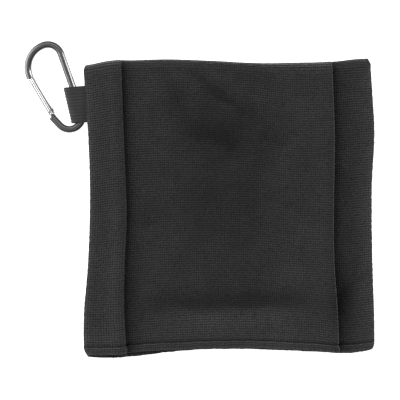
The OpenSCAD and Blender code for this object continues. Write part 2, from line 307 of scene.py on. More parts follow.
# %% [markdown]
# ### Ribbed nylon webbing
# Webbing is woven flat from dull nylon: thick warp cords run along the tape and the thin weft locks
# them, which gives lengthwise ribs with fine cross ticks. The ribs are real relief in the mesh; the
# ticks are a sine in each direction.

# %% Webbing material
webbing_mat, t = material("nylon_webbing_charcoal", "#333334")
uv = add(t, "ShaderNodeUVMap", {"uv_map": "UVMap"})
axes = add(t, "ShaderNodeSeparateXYZ", Vector=uv.outputs["UV"])
tick_pitch, cord_pitch = 0.85, 0.72
ticks = maths(t, "SINE", maths(t, "MULTIPLY", axes.outputs["X"], 2 * np.pi / (tick_pitch * MM)))
cords = maths(t, "SINE", maths(t, "MULTIPLY", axes.outputs["Y"], 2 * np.pi / (cord_pitch * MM)))
lint = add(t, "ShaderNodeTexNoise", Vector=uv.outputs["UV"], Scale=900.0, Detail=3.0)
height = maths(t, "MULTIPLY_ADD", lint.outputs[0], 0.9, maths(t, "MULTIPLY", ticks, cords))
# Colour follows the weave's relief: painted shade between cords and ticks, and random tone from the noise.
shade = add(t, "ShaderNodeMapRange", Value=height, From_Min=-0.8, From_Max=1.6)
yarn = add(t, "ShaderNodeValToRGB", Fac=shade.outputs[0])
yarn.color_ramp.elements[0].color = linear("#161617")
yarn.color_ramp.elements[1].color = linear("#2a2a2b")
bump = add(t, "ShaderNodeBump", Height=height, Strength=0.6, Distance=0.00012)
coat(
    t,
    Base_Color=yarn.outputs[0],
    Roughness=0.72,
    Normal=bump.outputs[0],
    Sheen_Weight=0.15,
    Specular_IOR_Level=0.3,
)
print("made", webbing_mat.name)

# %% [markdown]
# ### Black polyester thread
# Spun polyester thread is dark and dull with a slight twist, which is a diagonal sine over the
# stitch.

# %% Thread material
thread, t = material("polyester_thread_black", "#161617")
place = add(t, "ShaderNodeTexCoord")
twist = add(
    t, "ShaderNodeTexWave", {"bands_direction": "DIAGONAL"}, Vector=place.outputs["Object"], Scale=900.0
)
bump = add(t, "ShaderNodeBump", Height=twist.outputs["Fac"], Strength=0.4, Distance=0.0001)
coat(t, Base_Color=linear("#0c0c0d"), Roughness=0.9, Normal=bump.outputs[0], Specular_IOR_Level=0.2)
print("made", thread.name)

# %% [markdown]
# ### Anodised aluminium
# The body is aluminium bar, tumbled and anodised dark grey: a metal with a satin, slightly uneven
# gloss that shows broad soft highlights on its chamfers.

# %% Anodised material
anodised, t = material("anodised_aluminium_grey", "#47474a")
grain, gloss = uneven_gloss(t, 2500.0, 3.0, 0.15, 0.24)
bump = add(t, "ShaderNodeBump", Height=grain, Strength=0.1, Distance=0.00003)
coat(t, Base_Color=linear("#6a6a6b"), Metallic=1.0, Roughness=gloss, Normal=bump.outputs[0])
print("made", anodised.name)

# %% [markdown]
# ### Polished aluminium
# The gate is drawn tube, left bright: nearly a mirror, with faint marks that spread the gloss.

# %% Gate material
polished, t = material("polished_aluminium", "#cfd0d2")
_, gloss = uneven_gloss(t, 1200.0, 4.0, 0.1, 0.2)
coat(t, Base_Color=linear("#c2c3c4"), Metallic=1.0, Roughness=gloss)

# %% [markdown]
# ### Plain steel
# Rivet, latch pin, plunger and spring are small turned or drawn steel parts with a plain finish.

# %% Steel material
steel, t = material("plain_steel", "#8f8f92")
_, gloss = uneven_gloss(t, 1800.0, 3.0, 0.22, 0.38)
coat(t, Base_Color=linear("#a9a9ac"), Metallic=1.0, Roughness=gloss)
print("made", polished.name, "and", steel.name)

# %% [markdown]
# ## The towel's path
# The towel is one sheet. Across its width it runs right over the left band, tucks back under itself
# at the first pleat, comes forward again as the main panel, and does the same at the second pleat.
# Along its length it runs from the front hem up the front leaf, over the top fold and down the back
# leaf. So the whole sheet is a table of points: columns across the width, rows along the length.
# The widths are listed as stretches of ply levels and turns, then sampled finely where they show
# and coarsely where they are tucked away.


# %% Columns across the width
def level(n):
    """Height of the middle of ply n."""
    return ply / 2 + n * pitch


spacing = 1.5
left_x = right_x - 192.0
runs = []


def stretch(x0, x1, front, back, gap):
    """A stretch of cloth from x0 to x1 whose front and back leaves sit at ply levels front and back."""
    count = max(int(abs(x1 - x0) / gap), 2)
    u = np.linspace(0, 1, count, endpoint=False)
    f = front[0] + (front[1] - front[0]) * step(u, 0, 1)
    b = back[0] + (back[1] - back[0]) * step(u, 0, 1)
    runs.append(np.stack([x0 + (x1 - x0) * u, level(f), level(b)], 1))


def turn(x, side, front, back):
    """A half turn of the cloth at x, bulging to side, that carries both leaves from one ply to the next."""
    a = np.linspace(0, np.pi, 8, endpoint=False)
    f = level((front[0] + front[1]) / 2) + (front[0] - front[1]) / 2 * pitch * np.cos(a)
    b = level((back[0] + back[1]) / 2) + (back[0] - back[1]) / 2 * pitch * np.cos(a)
    runs.append(np.stack([x + side * pitch / 2 * np.sin(a), f, b], 1))


tuck_a, tuck_b = left_x + 2.2, pleat_b - tuck
stretch(left_x, left_x + 1.6, (5, 5), (0, 0), 0.4)
stretch(left_x + 1.6, left_x + 5, (5, 5), (0, 0), 0.8)
stretch(left_x + 5, pleat_a - 3, (5, 5), (0, 0), spacing)
stretch(pleat_a - 3, pleat_a, (5, 5), (0, 0), 0.6)
turn(pleat_a, 1, (5, 4), (0, 1))
stretch(pleat_a, tuck_a, (4, 4), (1, 1), 4.5)
turn(tuck_a, -1, (4, 3), (1, 2))
stretch(tuck_a, pleat_a - 9, (3, 3), (2, 2), 4.5)
stretch(pleat_a - 9, pleat_a + 2.5, (3, 1.2), (2, 0), 0.8)
stretch(pleat_a + 2.5, pleat_a + 16, (1.2, 1.7), (0, 0), 1.1)
stretch(pleat_a + 16, tuck_b - 30, (1.7, 1.7), (0, 0), spacing)
stretch(tuck_b - 30, tuck_b + 1, (1.7, 5), (0, 0), spacing)
stretch(tuck_b + 1, pleat_b - 3, (5, 5), (0, 0), spacing)
stretch(pleat_b - 3, pleat_b, (5, 5), (0, 0), 0.6)
turn(pleat_b, 1, (5, 4), (0, 1))
stretch(pleat_b, tuck_b, (4, 4), (1, 1), 4.5)
turn(tuck_b, -1, (4, 3), (1, 2))
stretch(tuck_b, pleat_b - 9, (3, 3), (2, 2), 4.5)
stretch(pleat_b - 9, pleat_b + 3, (3, 1.1), (2, 0), 0.8)
stretch(pleat_b + 3, right_x - 5, (1.1, 1.9), (0, 0), 1.1)
stretch(right_x - 5, right_x - 1.6, (1.9, 1.9), (0, 0), 0.8)
stretch(right_x - 1.6, right_x, (1.9, 1.9), (0, 0), 0.4)
path = np.vstack(runs + [[[right_x, level(1.9), level(0)]]])
base_x, front_z, back_z = path.T
across = np.concatenate([[0], np.cumsum(np.hypot(np.diff(base_x), np.diff(front_z)))])

# %% [markdown]
# ### Rows along the length
# Each column rises from its hem to the top fold and comes back down behind. A column whose leaves
# lie far apart needs a wide half turn at the top and one whose leaves touch needs a tight one, and
# both end at the same top edge. So the rows are shares of each leaf's length plus a half turn whose
# radius is half the distance between the two leaves.

# %% Rows
hem_band = 5.4
long_side = top_y - hem_y
front_rows = np.concatenate(
    [
        np.linspace(0, hem_band + 1.6, 15, endpoint=False),
        np.arange(hem_band + 1.6, long_side - 2, spacing),
    ]
)
back_rows = np.concatenate(
    [
        np.linspace(0, hem_band + 1.6, 9, endpoint=False),
        np.arange(hem_band + 1.6, long_side - 4, 3.4),
    ]
)
front_share = front_rows / long_side
back_share = back_rows[::-1] / long_side
arc = np.linspace(0, np.pi, 15)[1:-1]
n_front, n_arc, n_back = len(front_share), len(arc), len(back_share)
n_rows = n_front + n_arc + n_back
print("%d rows: %d in front, %d round the fold, %d behind" % (n_rows, n_front, n_arc, n_back))

# %% [markdown]
# ### How the edges drift
# A folded towel is never square. Its left edge draws in by 4 mm near the middle, the pleats drift a
# little, the top edge dips between the folds, and the hems hang lower at the corners. Each of these
# is one smooth curve through a few heights or widths.


# %% Edge curves
def left_drift(y):
    """How far the left edge stands right of its nominal line at height y."""
    return through(y, [-105, -80, -45, 5, 45, 92], [-3.7, -3.9, -1.1, 0.4, -0.9, -4.4])


def pleat_a_drift(y):
    """How far the first pleat's fold stands right of its nominal line."""
    return through(y, [-100, -75, -45, -11, 20, 53, 92], [1.9, 0.4, 0.7, 2.1, 1.1, -0.3, -1.6])


def pleat_b_drift(y):
    """How far the second pleat's fold stands right of its nominal line."""
    return through(y, [-100, -75, -48, 50, 92], [2.6, 1.8, -0.2, -0.5, -2.0])


def right_drift(y):
    """How far the right edge stands right of its nominal line."""
    return through(y, [-105, -85, -35, 10, 48, 70, 92], [-0.2, -0.4, -1.8, -2.0, -0.3, -1.6, -3.0])


def top_edge(x):
    """Height of the top edge across the width."""
    knots = [-78, -70, -60, -52, -44, -20, 0, 14, 34, 52, 64, 85, 95, 110, 118]
    heights = [90, 91, 93.2, 94, 94, 94.6, 94, 93.4, 92.3, 91.9, 92.1, 92.6, 93.3, 94.8, 95.2]
    return through(x, knots, heights)


def front_hem(x):
    """Height of the front leaf's hem across the width."""
    knots = [-78, -60, -42, -10, 25, 60, 78, 88, 105, 118]
    heights = [-104, -104.3, -102.6, -100.9, -100, -100.8, -101.6, -102.9, -102.3, -100.8]
    return through(x, knots, heights)


def back_hem(x):
    """Height of the back leaf's hem, which hangs lower at both corners."""
    knots = [-78, -60, -42, -15, 25, 60, 78, 90, 105, 118]
    heights = [-105.6, -106.6, -105.3, -102.1, -100.8, -102, -102.4, -103.6, -103.2, -101.6]
    return through(x, knots, heights)


def corner_cut(y, low, high, radius=6.5, top_radius=5):
    """How far a rounded corner draws the side edges in near the top or bottom edge."""
    u = np.clip(1 - (y - low) / radius, 0, 1)
    v = np.clip(1 - (high - y) / top_radius, 0, 1)
    return radius * (1 - np.sqrt(1 - 0.96 * u**2)) + top_radius * (1 - np.sqrt(1 - 0.9 * v**2))


def warp(x, y, low, high):
    """Shifts x by the drift of the nearest edges and pleats, fading linearly from one to the next."""
    cut = corner_cut(y, low - 1, high + 0.5) + 0.16 * ripple(y, 0 * y, 3.2, 41, 2)
    knots = np.array([left_x, pleat_a, pleat_b, right_x])
    drift = np.stack([left_drift(y) + cut, pleat_a_drift(y), pleat_b_drift(y), right_drift(y) - cut], -1)
    i = np.clip(np.searchsorted(knots, x) - 1, 0, 2)
    u = np.clip((x - knots[i]) / (knots[i + 1] - knots[i]), -0.1, 1.1)
    before = np.take_along_axis(drift, i[..., None], -1)[..., 0]
    after = np.take_along_axis(drift, i[..., None] + 1, -1)[..., 0]
    return x + before + (after - before) * u


# %% [markdown]
# ### Wrinkles
# Pressed folds leave a few soft creases in the main panel. Each crease is a ridge or a valley along
# a short line: its depth falls off as a bell curve across the line and fades out at both ends. Fine
# unevenness of the pile is left to seeded sums of sines.


# %% Creases
def crease(x, y, start, end, depth, width):
    """Height change along a line from start to end: a bell curve across it, faded at both ends."""
    start, end = np.array(start, float), np.array(end, float)
    run = np.hypot(*(end - start))
    tx, ty = (end - start) / run
    s = (x - start[0]) * tx + (y - start[1]) * ty
    d = (x - start[0]) * ty - (y - start[1]) * tx
    fade = step(s, -0.15 * run, 0.2 * run) * (1 - step(s, 0.8 * run, 1.15 * run))
    return depth * fade * np.exp(-0.5 * (d / width) ** 2)


CREASES = [
    ((-8, 88), (34, 56), -1.1, 3.2),
    ((-26, 88), (-8, 56), -0.8, 3.0),
    ((4, 84), (48, 60), 0.6, 4.0),
    ((-12, 50), (30, 36), -0.9, 7.0),
    ((42, 44), (60, 36), -0.8, 4.0),
    ((66, 66), (88, 40), 0.9, 6.0),
    ((-30, -71), (76, -67), -1.2, 4.6),
    ((-10, -84), (70, -80), 0.9, 5.5),
    ((62, -46), (90, -70), 0.9, 4.0),
    ((66, -20), (86, -38), 0.7, 6.0),
    ((-40, -12), (-34, -20), -0.6, 3.0),
    ((-44, -72), (-38, -84), -0.6, 3.0),
    ((-20, 10), (40, -20), -0.5, 16.0),
    ((92, -63), (116, -50), -0.9, 1.7),
    ((98, -74), (114, -62), 0.5, 4.0),
]


def wrinkles(x, y):
    """Height of the main panel's creases and unevenness."""
    total = 0.28 * ripple(x, y, 34, 5) + 0.1 * ripple(x, y, 9, 8, 2)
    for start, end, depth, width in CREASES:
        total = total + crease(x, y, start, end, depth, width)
    return total


print(len(CREASES), "creases")

# %% [markdown]
# ### The sheet's middle surface
# Now the table is filled: for every column and row its place on the front leaf, on the half turn
# or on the back leaf. The pleats roll fat at their folded edges, so the outer ply swells there.

# %% Middle surface
main = step(base_x, pleat_a + 6, pleat_a + 18) * (1 - step(base_x, tuck_b - 8, tuck_b + 10))
raised = np.clip((front_z - level(4)) / pitch, 0, 1)
free = main + raised * (0.35 * (base_x > tuck_b) + 0.2 * (base_x < pleat_a + 1))
free = free + 0.8 * step(base_x, pleat_b + 2, pleat_b + 5) * (front_z < level(2.5))
roll = raised * (1.0 * hill(base_x, pleat_a - 3.2, 2.3) + 0.7 * hill(base_x, pleat_b - 3.4, 3.0))
edge_u = np.clip(1 - np.minimum(base_x - left_x, right_x - base_x) / 4.5, 0, 1)
droop = np.where(base_x < 0, 2.0, 1.0) * (1 - np.sqrt(1 - edge_u**2)) * (front_z - back_z > 1)
reach_top = top_edge(base_x)
bend_y = reach_top - (front_z - back_z) / 2 - cloth / 2


def leaf_points(share, z, hem):
    """Points of one leaf: each row is its share of the way from the hem to where the half turn begins."""
    start = (hem(base_x) + 0.22 * ripple(base_x, 0 * base_x, 5.0, 43, 2))[:, None]
    y = start + (bend_y[:, None] - start) * share
    x = warp(np.repeat(base_x[:, None], len(share), 1), y, hem(base_x)[:, None], reach_top[:, None])
    return x, y, np.repeat(z[:, None], len(share), 1)


fx, fy, fz = leaf_points(front_share, front_z, front_hem)
bx, by, bz = leaf_points(back_share, back_z, back_hem)
fade = (1 - step(front_share, 0.96, 1.0)) * (0.3 + 0.7 * step(front_rows, 0, 12))
crease_gain = 1.7
folds = np.maximum(crease_gain * wrinkles(fx, fy), -1.3)
fz = fz + (roll - droop)[:, None] * (0.4 + 0.6 * fade) + free[:, None] * fade * folds
tucked = (front_z < level(4.6)) & (base_x < -62)
pocket = step(fy, 46, 51) * (1 - step(fy, 77.5, 82.5)) * tucked[:, None]
fx = np.where(pocket > 0, fx + pocket * 0.9 * np.maximum(-64 - fx, 0), fx)
radius = (fz[:, -1] - bz[:, 0]) / 2
centre = (fz[:, -1] + bz[:, 0]) / 2
reach = np.maximum(reach_top - cloth / 2 - fy[:, -1], 0.3)
ay = fy[:, -1:] + reach[:, None] * np.sin(arc)
az = centre[:, None] + radius[:, None] * np.cos(arc)
ax = warp(np.repeat(base_x[:, None], n_arc, 1), ay, hem_y, reach_top[:, None])
middle = np.stack([np.hstack([fx, ax, bx]), np.hstack([fy, ay, by]), np.hstack([fz, az, bz])], -1)
print("middle surface", middle.shape)

# %% [markdown]
# ### Thickness, hems and pile
# The sheet gets its thickness along the surface normal, half to each side. At every cut edge the
# half thickness runs down to nothing as a quarter circle, which rounds the edge. Each hem is cloth
# turned over twice, so it is thicker, with a groove where the stitching pulls it in.

# %% Shell
edge_in = np.minimum(across - across[0], across[-1] - across)
row_in = np.concatenate([front_rows, np.full(n_arc, 99.0), back_rows[::-1]])
hem_like = 1 + 0.6 * (1 - step(row_in, hem_band - 1.0, hem_band - 0.2)) - 0.75 * hill(row_in, hem_band, 0.75)
round_x = np.sqrt(1 - (1 - np.clip(edge_in / 0.8, 0, 1)) ** 2)
round_y = np.sqrt(1 - (1 - np.clip(row_in / 0.9, 0, 1)) ** 2)
half = cloth / 2 * np.maximum(np.minimum(round_x[:, None], round_y[None, :] + 0 * round_x[:, None]), 0.02)
half = half * hem_like[None, :]
normal = sheet_normal(middle)
pile_noise = 1 + 0.05 * ripple(middle[..., 0], middle[..., 1], 4.2, 21, 2)
outside = middle + normal * (half * pile_noise)[..., None]
inside = middle - normal * (half * 0.9)[..., None]
outside[..., 2] = np.maximum(outside[..., 2], 0.02)
inside[..., 2] = np.maximum(inside[..., 2], 0.02)
along = np.concatenate(
    [
        front_share * long_side,
        long_side + np.linspace(1, 14, n_arc),
        long_side + 15 + (1 - back_share) * long_side,
    ]
)
towel = shell("towel_sheet", outside, inside, across, along)
towel.data.materials.append(terry)

# %% [markdown]
# ### Painted light and shade on the pile
# A faint random unevenness of tone is the cloth's own. Over it go soft patches of painted light and
# painted shade, where the gently tilted panels would catch more or less of the light. Each patch is
# a bell curve with a centre, two half widths and a strength. The same sum adds painted highlights
# along each rim, painted shade in the crevices beside the pleats and in the groove of the stitching,
# and lighter ridges and darker valleys along the creases. It is stored on the mesh for the terry to
# read.

# %% Painted light and shade
# Soft patches of painted light (positive strength) and painted shade (negative strength).
PAINTED_LIGHT_PATCHES = [
    ((28, 14), (38, 62), -0.2),
    ((26, 62), (22, 24), -0.12),
    ((28, -68), (46, 7), -0.16),
    ((12, -82), (34, 6), 0.16),
    ((36, -94), (56, 4), 0.14),
    ((-16, 62), (5, 12), -0.16),
    ((10, 44), (12, 10), -0.1),
    ((-33, -15), (4, 5), -0.1),
    ((-45, -66), (4, 22), -0.16),
    ((-55, -62), (5, 28), 0.16),
    ((-68, -95), (8, 6), 0.16),
    ((99, 6), (9, 80), -0.1),
    ((97, -68), (6, 14), -0.3),
    ((112, -20), (4, 90), 0.16),
    ((78, -30), (10, 60), 0.06),
    ((-72, 60), (5, 30), 0.1),
]
PAINTED_LIGHT_GAIN = 1.7
px, py = middle[..., 0], middle[..., 1]
tone_and_painted_light = 1 + 0.05 * ripple(px, py, 26, 31, 3)
for (cx, cy), (hx, hy), strength in PAINTED_LIGHT_PATCHES:
    painted_spot = np.exp(-0.5 * (((px - cx) / hx) ** 2 + ((py - cy) / hy) ** 2))
    tone_and_painted_light = tone_and_painted_light + PAINTED_LIGHT_GAIN * strength * painted_spot
in_front = (np.arange(n_rows) < n_front)[None, :]
right_in, left_in = (across[-1] - across)[:, None], across[:, None]
# Painted highlight along the right, left and hem edges of the front leaf.
painted_rim_light = 1.2 * np.exp(-right_in / 2.2) + 0.7 * np.exp(-left_in / 1.8) + 0.9 * np.exp(-row_in[None, :])
tone_and_painted_light = tone_and_painted_light + in_front * painted_rim_light
# Painted shade along the groove of the hem stitching.
tone_and_painted_light = tone_and_painted_light - 0.6 * hill(row_in, hem_band + 0.3, 0.8)[None, :]
# Painted light and shade on the creases: lighter on their ridges, darker in their valleys.
tone_and_painted_light[:, :n_front] += 0.14 * np.clip(crease_gain * wrinkles(fx, fy), -1.6, 1.6) * free[:, None]
# Painted shade just beside each pleat's fold, on the plies that lie below it.
below = (front_z < level(3.1)).astype(float)
painted_crevice_shade = 0.62 * hill(base_x, pleat_a + 2.2, 1.1) + 0.5 * hill(base_x, pleat_b + 2.4, 1.5)
tone_and_painted_light = tone_and_painted_light - (painted_crevice_shade * below)[:, None] * in_front
tone_and_painted_light_layer = towel.data.attributes.new("tone_and_painted_light", "FLOAT", "POINT")
tone_and_painted_light_layer.data.foreach_set("value", np.tile(tone_and_painted_light.ravel(), 2).astype(np.float32))
print("towel", len(towel.data.polygons), "faces")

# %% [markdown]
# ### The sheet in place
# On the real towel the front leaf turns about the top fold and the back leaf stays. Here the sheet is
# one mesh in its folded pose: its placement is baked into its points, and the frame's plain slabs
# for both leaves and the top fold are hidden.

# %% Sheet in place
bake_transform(towel)
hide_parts("towel_back_leaf")
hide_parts("towel_front_leaf")
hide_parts("towel_top_fold")

# %% [markdown]
# ## Hem stitching
# A lockstitch shows as a row of short raised stitches pulled down into the hem's groove. One stitch
# is a capsule, bent slightly down at its ends where the thread goes in, and the row is that capsule
# repeated along the hem at the height the cloth has there.


# %% Stitch rows
def capsule(length, radius, around=8, steps=9):
    """One stitch along x: a tube whose radius closes like an ellipse and whose ends dip."""
    u = np.linspace(-1, 1, steps)
    r = radius * np.sqrt(np.maximum(1 - u**4, 0.02))
    a = np.linspace(0, 2 * np.pi, around, endpoint=False)
    x = np.repeat((u * length / 2)[:, None], around, 1)
    y = r[:, None] * np.cos(a)[None, :]
    z = r[:, None] * np.sin(a)[None, :] - (0.35 * u**2)[:, None]
    body = np.stack([x, y, z], -1).reshape(-1, 3)
    faces = grid_faces(steps, around, close_cols=True)
    n = len(body)
    body = np.vstack([body, [[-length / 2, 0, -0.35], [length / 2, 0, -0.35]]])
    ring = np.arange(around)
    last = (steps - 1) * around + ring
    caps0 = np.stack([np.full(around, n), np.roll(ring, -1), ring, ring], -1)
    caps1 = np.stack([np.full(around, n + 1), last, np.roll(last, -1), np.roll(last, -1)], -1)
    tris = [list(f[:3]) for f in np.concatenate([caps0, caps1])]
    return body, [list(f) for f in faces] + tris


def stitch_row(name, line, body, node, size=(2.5, 0.24)):
    """Stitches placed one after another along a polyline, each turned to the line's direction."""
    steps_along = np.concatenate([[0], np.cumsum(np.linalg.norm(np.diff(line, axis=0), axis=1))])
    n = int(steps_along[-1] / (size[0] * 1.22))
    at = (np.arange(n) + 0.5) * steps_along[-1] / n
    centre, ahead, behind = (
        np.stack([np.interp(s, steps_along, line[:, k]) for k in range(3)], -1) for s in (at, at + 0.8, at - 0.8)
    )
    tangent = ahead - behind
    tangent /= np.linalg.norm(tangent, axis=1, keepdims=True)
    up = np.array([0, 0, 1.0])
    side = np.cross(up, tangent)
    side /= np.linalg.norm(side, axis=1, keepdims=True)
    rise = np.cross(tangent, side)
    shape, faces = capsule(*size)
    pts = (
        centre[:, None, :]
        + shape[None, :, :1] * tangent[:, None, :]
        + shape[None, :, 1:2] * side[:, None, :]
        + shape[None, :, 2:] * rise[:, None, :]
    )
    every = [[i + k * len(shape) for i in f] for k in range(n) for f in faces]
    piece = mesh_object(name, pts.reshape(-1, 3), every)
    piece.data.materials.append(thread)
    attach(piece, body)
    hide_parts(node)
    print(name, n, "stitches")
    return piece


row_f = int(np.argmin(np.abs(front_rows - hem_band)))
seen = np.flatnonzero((base_x < pleat_a - 0.6) & (front_z > level(4.9)))
seen_main = np.flatnonzero((front_z < level(3.05)) & (base_x > pleat_a + 2.4) & (base_x < tuck_b - 2))
seen_mid = np.flatnonzero((front_z > level(4.9)) & (base_x > tuck_b - 2) & (base_x < pleat_b - 0.6))
seen_right = np.flatnonzero((front_z < level(3.05)) & (base_x > pleat_b + 2.4))
hem_lines = [seen[3:], np.concatenate([seen_main, seen_mid]), seen_right[:-3]]
hem_top = outside[:, row_f] - np.array([0, 0, 0.14])
threads_front = [
    stitch_row("front_hem_stitches_%d" % i, hem_top[line], "towel_front", "front_hem_thread")
    for i, line in enumerate(hem_lines)
]
row_b = n_front + n_arc + int(np.argmin(np.abs(back_rows[::-1] - hem_band)))
low_line = np.flatnonzero((back_z < level(0.05)))
hem_under = outside[:, row_b] * [1, 1, 0] + np.array([0, 0, 0.3])
jump = np.flatnonzero(np.abs(np.diff(base_x[low_line])) > 4)
back_lines = np.split(low_line, jump + 1)
threads_back = [
    stitch_row("back_hem_stitches_%d" % i, hem_under[line], "towel_back", "back_hem_thread", (2.5, 0.25))
    for i, line in enumerate(back_lines)
    if len(line) > 6
]

# %% [markdown]
# ## Webbing loop
# The webbing leaves the towel's edge as two plies, runs round the carabiner's spine and comes back.
# Seen from the side it is a slot: two straight runs joined by a half round. Its outer edge leans
# with the spine, so each line across the tape has its own reach. Lengthwise cords stand out as ribs.

# %% Webbing
loop_low, loop_high = corners("webbing_loop")
tail_low, tail_high = corners("webbing_tail")
lean = np.tan(np.radians(12.9))
wall_x = loop_high[0]
eye_r = loop_high[2] / 2
strip_r = eye_r - web_t / 2 - 0.1
eye_centre = wall_x - 9.3
cord_count = 11.5
lines = np.linspace(loop_low[1] + 0.35, loop_high[1] - 0.35, 116)
middle_line = (loop_low[1] + loop_high[1]) / 2
tail_mid = (tail_low[2] + tail_high[2]) / 2
tail_end = wall_x + 8
bend_angle = np.linspace(-np.pi / 2, -3 * np.pi / 2, 25)
run_in = np.linspace(0, 1, 34, endpoint=False)


def strip_line(y):
    """One line of the tape seen from the side: tail, lower run, half round, upper run, tail."""
    cx = eye_centre - (y - middle_line - 0.8) * lean
    low_x = tail_end + (cx - tail_end) * run_in
    low_z = eye_r - strip_r + (tail_mid - 0.62 - eye_r + strip_r) * step(low_x, wall_x - 4.6, wall_x + 0.2)
    high_x = low_x[::-1]
    high_z = eye_r + strip_r + (tail_mid + 0.62 - eye_r - strip_r) * step(high_x, wall_x - 4.8, wall_x + 0.6)
    xs = np.concatenate([low_x, cx + strip_r * np.cos(bend_angle), high_x])
    zs = np.concatenate([low_z, eye_r + strip_r * np.sin(bend_angle), high_z])
    sag = 1.1 * step(-xs, -wall_x, -wall_x + 17)
    return np.stack([xs, y - sag, zs], -1)


strip = np.array([strip_line(y) for y in lines])
tape_x = lines - lines[0]
tape_w = tape_x[-1]
selvedge = np.clip(np.minimum(tape_x, tape_w - tape_x) / 0.7, 0, 1)
cords = np.abs(np.sin(np.pi * tape_x / tape_w * cord_count)) ** 0.7
half_tape = (web_t / 2 - 0.02) * np.sqrt(1 - (1 - selvedge) ** 2).clip(0.05) - 0.34 * (1 - cords) * selvedge
ends = np.clip(np.minimum(np.arange(strip.shape[1]), np.arange(strip.shape[1])[::-1]) / 2, 0.15, 1)
normal = sheet_normal(strip)
out = strip + normal * (half_tape[:, None] * ends)[..., None]
inn = strip - normal * (half_tape[:, None] * ends)[..., None]
tape_run = np.cumsum(np.r_[0, np.linalg.norm(np.diff(strip[0], axis=0), axis=1)])
webbing = shell("webbing_strip", out, inn, tape_x, tape_run)
webbing.data.materials.append(webbing_mat)
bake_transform(webbing)
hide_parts("webbing_loop", "webbing_tail")
print("webbing", len(webbing.data.polygons), "faces")

# %% [markdown]
# ## Carabiner body
# The body is one bar bent round: a straight spine, a tight corner, a wide bow to the nose, and a
# foot that turns back up to the hinge. Its section is an oblong with broad softened chamfers, swept
# along that line. Two thin tongues with the latch and the hinge finish its ends. All of it is
# drawn flat in the carabiner's own frame, x up the spine and y towards the gate, then tipped so
# that the gate side rests on the table.

# %% Bar
bar_w, bar_t = 4.7, 4.4
edge_mid_x, spine_gap = -73.9, 7.57
spine_at = np.array([edge_mid_x - spine_gap, 64.9, eye_r])
spine_turn, spine_tip = np.radians(109.4), np.radians(-6.489)
corner_at, corner_r = np.array([35.1, 9.45]), 9.45
bow_at, bow_r = np.array([28.75, 9.45]), 15.8
foot_at, foot_r = np.array([-6.3, 8.8]), 8.8
shank_turn, shank_run = np.radians(24.5), 7.9
nose_x = 26.55
hinge_at, gate_turn, gate_run = np.array([1.2, 19.9]), np.radians(11.266), 25.848


def to_frame(p):
    """Carabiner's own coordinates to the shared frame: tip about x, turn about z, then move."""
    c, d = np.cos(spine_tip), np.sin(spine_tip)
    x, y, z = p[..., 0], p[..., 1] * c - p[..., 2] * d, p[..., 1] * d + p[..., 2] * c
    e, f = np.cos(spine_turn), np.sin(spine_turn)
    return np.stack([x * e - y * f, x * f + y * e, z], -1) + spine_at


def arc_points(centre, r, a0, a1, n):
    """Points of a circular arc from angle a0 to a1."""
    a = np.linspace(a0, a1, n)
    return centre + r * np.stack([np.cos(a), np.sin(a)], -1)


shank_dir = np.array([np.cos(shank_turn), np.sin(shank_turn)])
foot_end = foot_at + foot_r * np.array([-np.sin(shank_turn), np.cos(shank_turn)])
bar_line = np.vstack(
    [
        foot_end + shank_dir * np.linspace(shank_run, 0.5, 5)[:, None],
        arc_points(foot_at, foot_r, np.pi / 2 + shank_turn, 3 * np.pi / 2, 40),
        [[x, 0] for x in np.linspace(-4.5, 33.5, 12)],
        arc_points(corner_at, corner_r, -np.pi / 2, 0, 28),
        arc_points(bow_at, bow_r, 0, np.pi / 2, 40)[1:],
        [[nose_x + 0.7, bow_at[1] + bow_r], [nose_x, bow_at[1] + bow_r]],
    ]
)
half_outline = [
    (0.0, 1.0),
    (0.38, 1.0),
    (0.46, 0.985),
    (0.52, 0.95),
    (0.76, 0.76),
    (0.9, 0.6),
    (0.97, 0.45),
    (1.0, 0.28),
    (1.0, 0.0),
]
quarter = np.array(half_outline) * [bar_w / 2, bar_t / 2]
lower_right = quarter[-2:0:-1] * [1, -1]
right_side = np.vstack([quarter, lower_right])
outline = np.vstack([right_side, [[0, -bar_t / 2]], -right_side[1:]])[::-1]


def sweep(line, outline):
    """A closed outline carried along a flat line, standing square to it, with both ends closed."""
    ahead = np.gradient(line, axis=0)
    ahead /= np.linalg.norm(ahead, axis=1, keepdims=True)
    side = np.stack([-ahead[:, 1], ahead[:, 0]], -1)
    n, m = len(line), len(outline)
    flat = line[:, None, :] + outline[None, :, :1] * side[:, None, :]
    body = np.concatenate([flat, np.repeat(outline[None, :, 1:], n, 0)], -1)
    faces = [list(f) for f in grid_faces(n, m, close_cols=True)]
    return body.reshape(-1, 3), faces + [list(range(m))[::-1], list(range((n - 1) * m, n * m))]


def plate(shape, thick):
    """A flat shape given as a ring of points, thickened to both sides of the middle plane."""
    shape = np.array(shape, float)
    n = len(shape)
    body = np.vstack([np.c_[shape, np.full(n, -thick / 2)], np.c_[shape, np.full(n, thick / 2)]])
    k = np.arange(n)
    walls = np.stack([k, np.roll(k, -1), np.roll(k, -1) + n, k + n], -1)
    return body, [list(f) for f in walls] + [list(range(n))[::-1], list(range(n, 2 * n))]


def join(parts):
    """Several meshes as one table of points and one list of faces."""
    starts = np.cumsum([0] + [len(p) for p, _ in parts])
    faces = [[i + k for i in f] for k, (_, fs) in zip(starts, parts) for f in fs]
    return np.vstack([p for p, _ in parts]), faces


def in_gate(shape):
    """Points drawn along the gate, x from hinge to latch, placed in the carabiner's own frame."""
    c, d = np.cos(gate_turn), np.sin(gate_turn)
    shape = np.array(shape, float)
    return hinge_at + np.stack([shape[:, 0] * c - shape[:, 1] * d, shape[:, 0] * d + shape[:, 1] * c], -1)


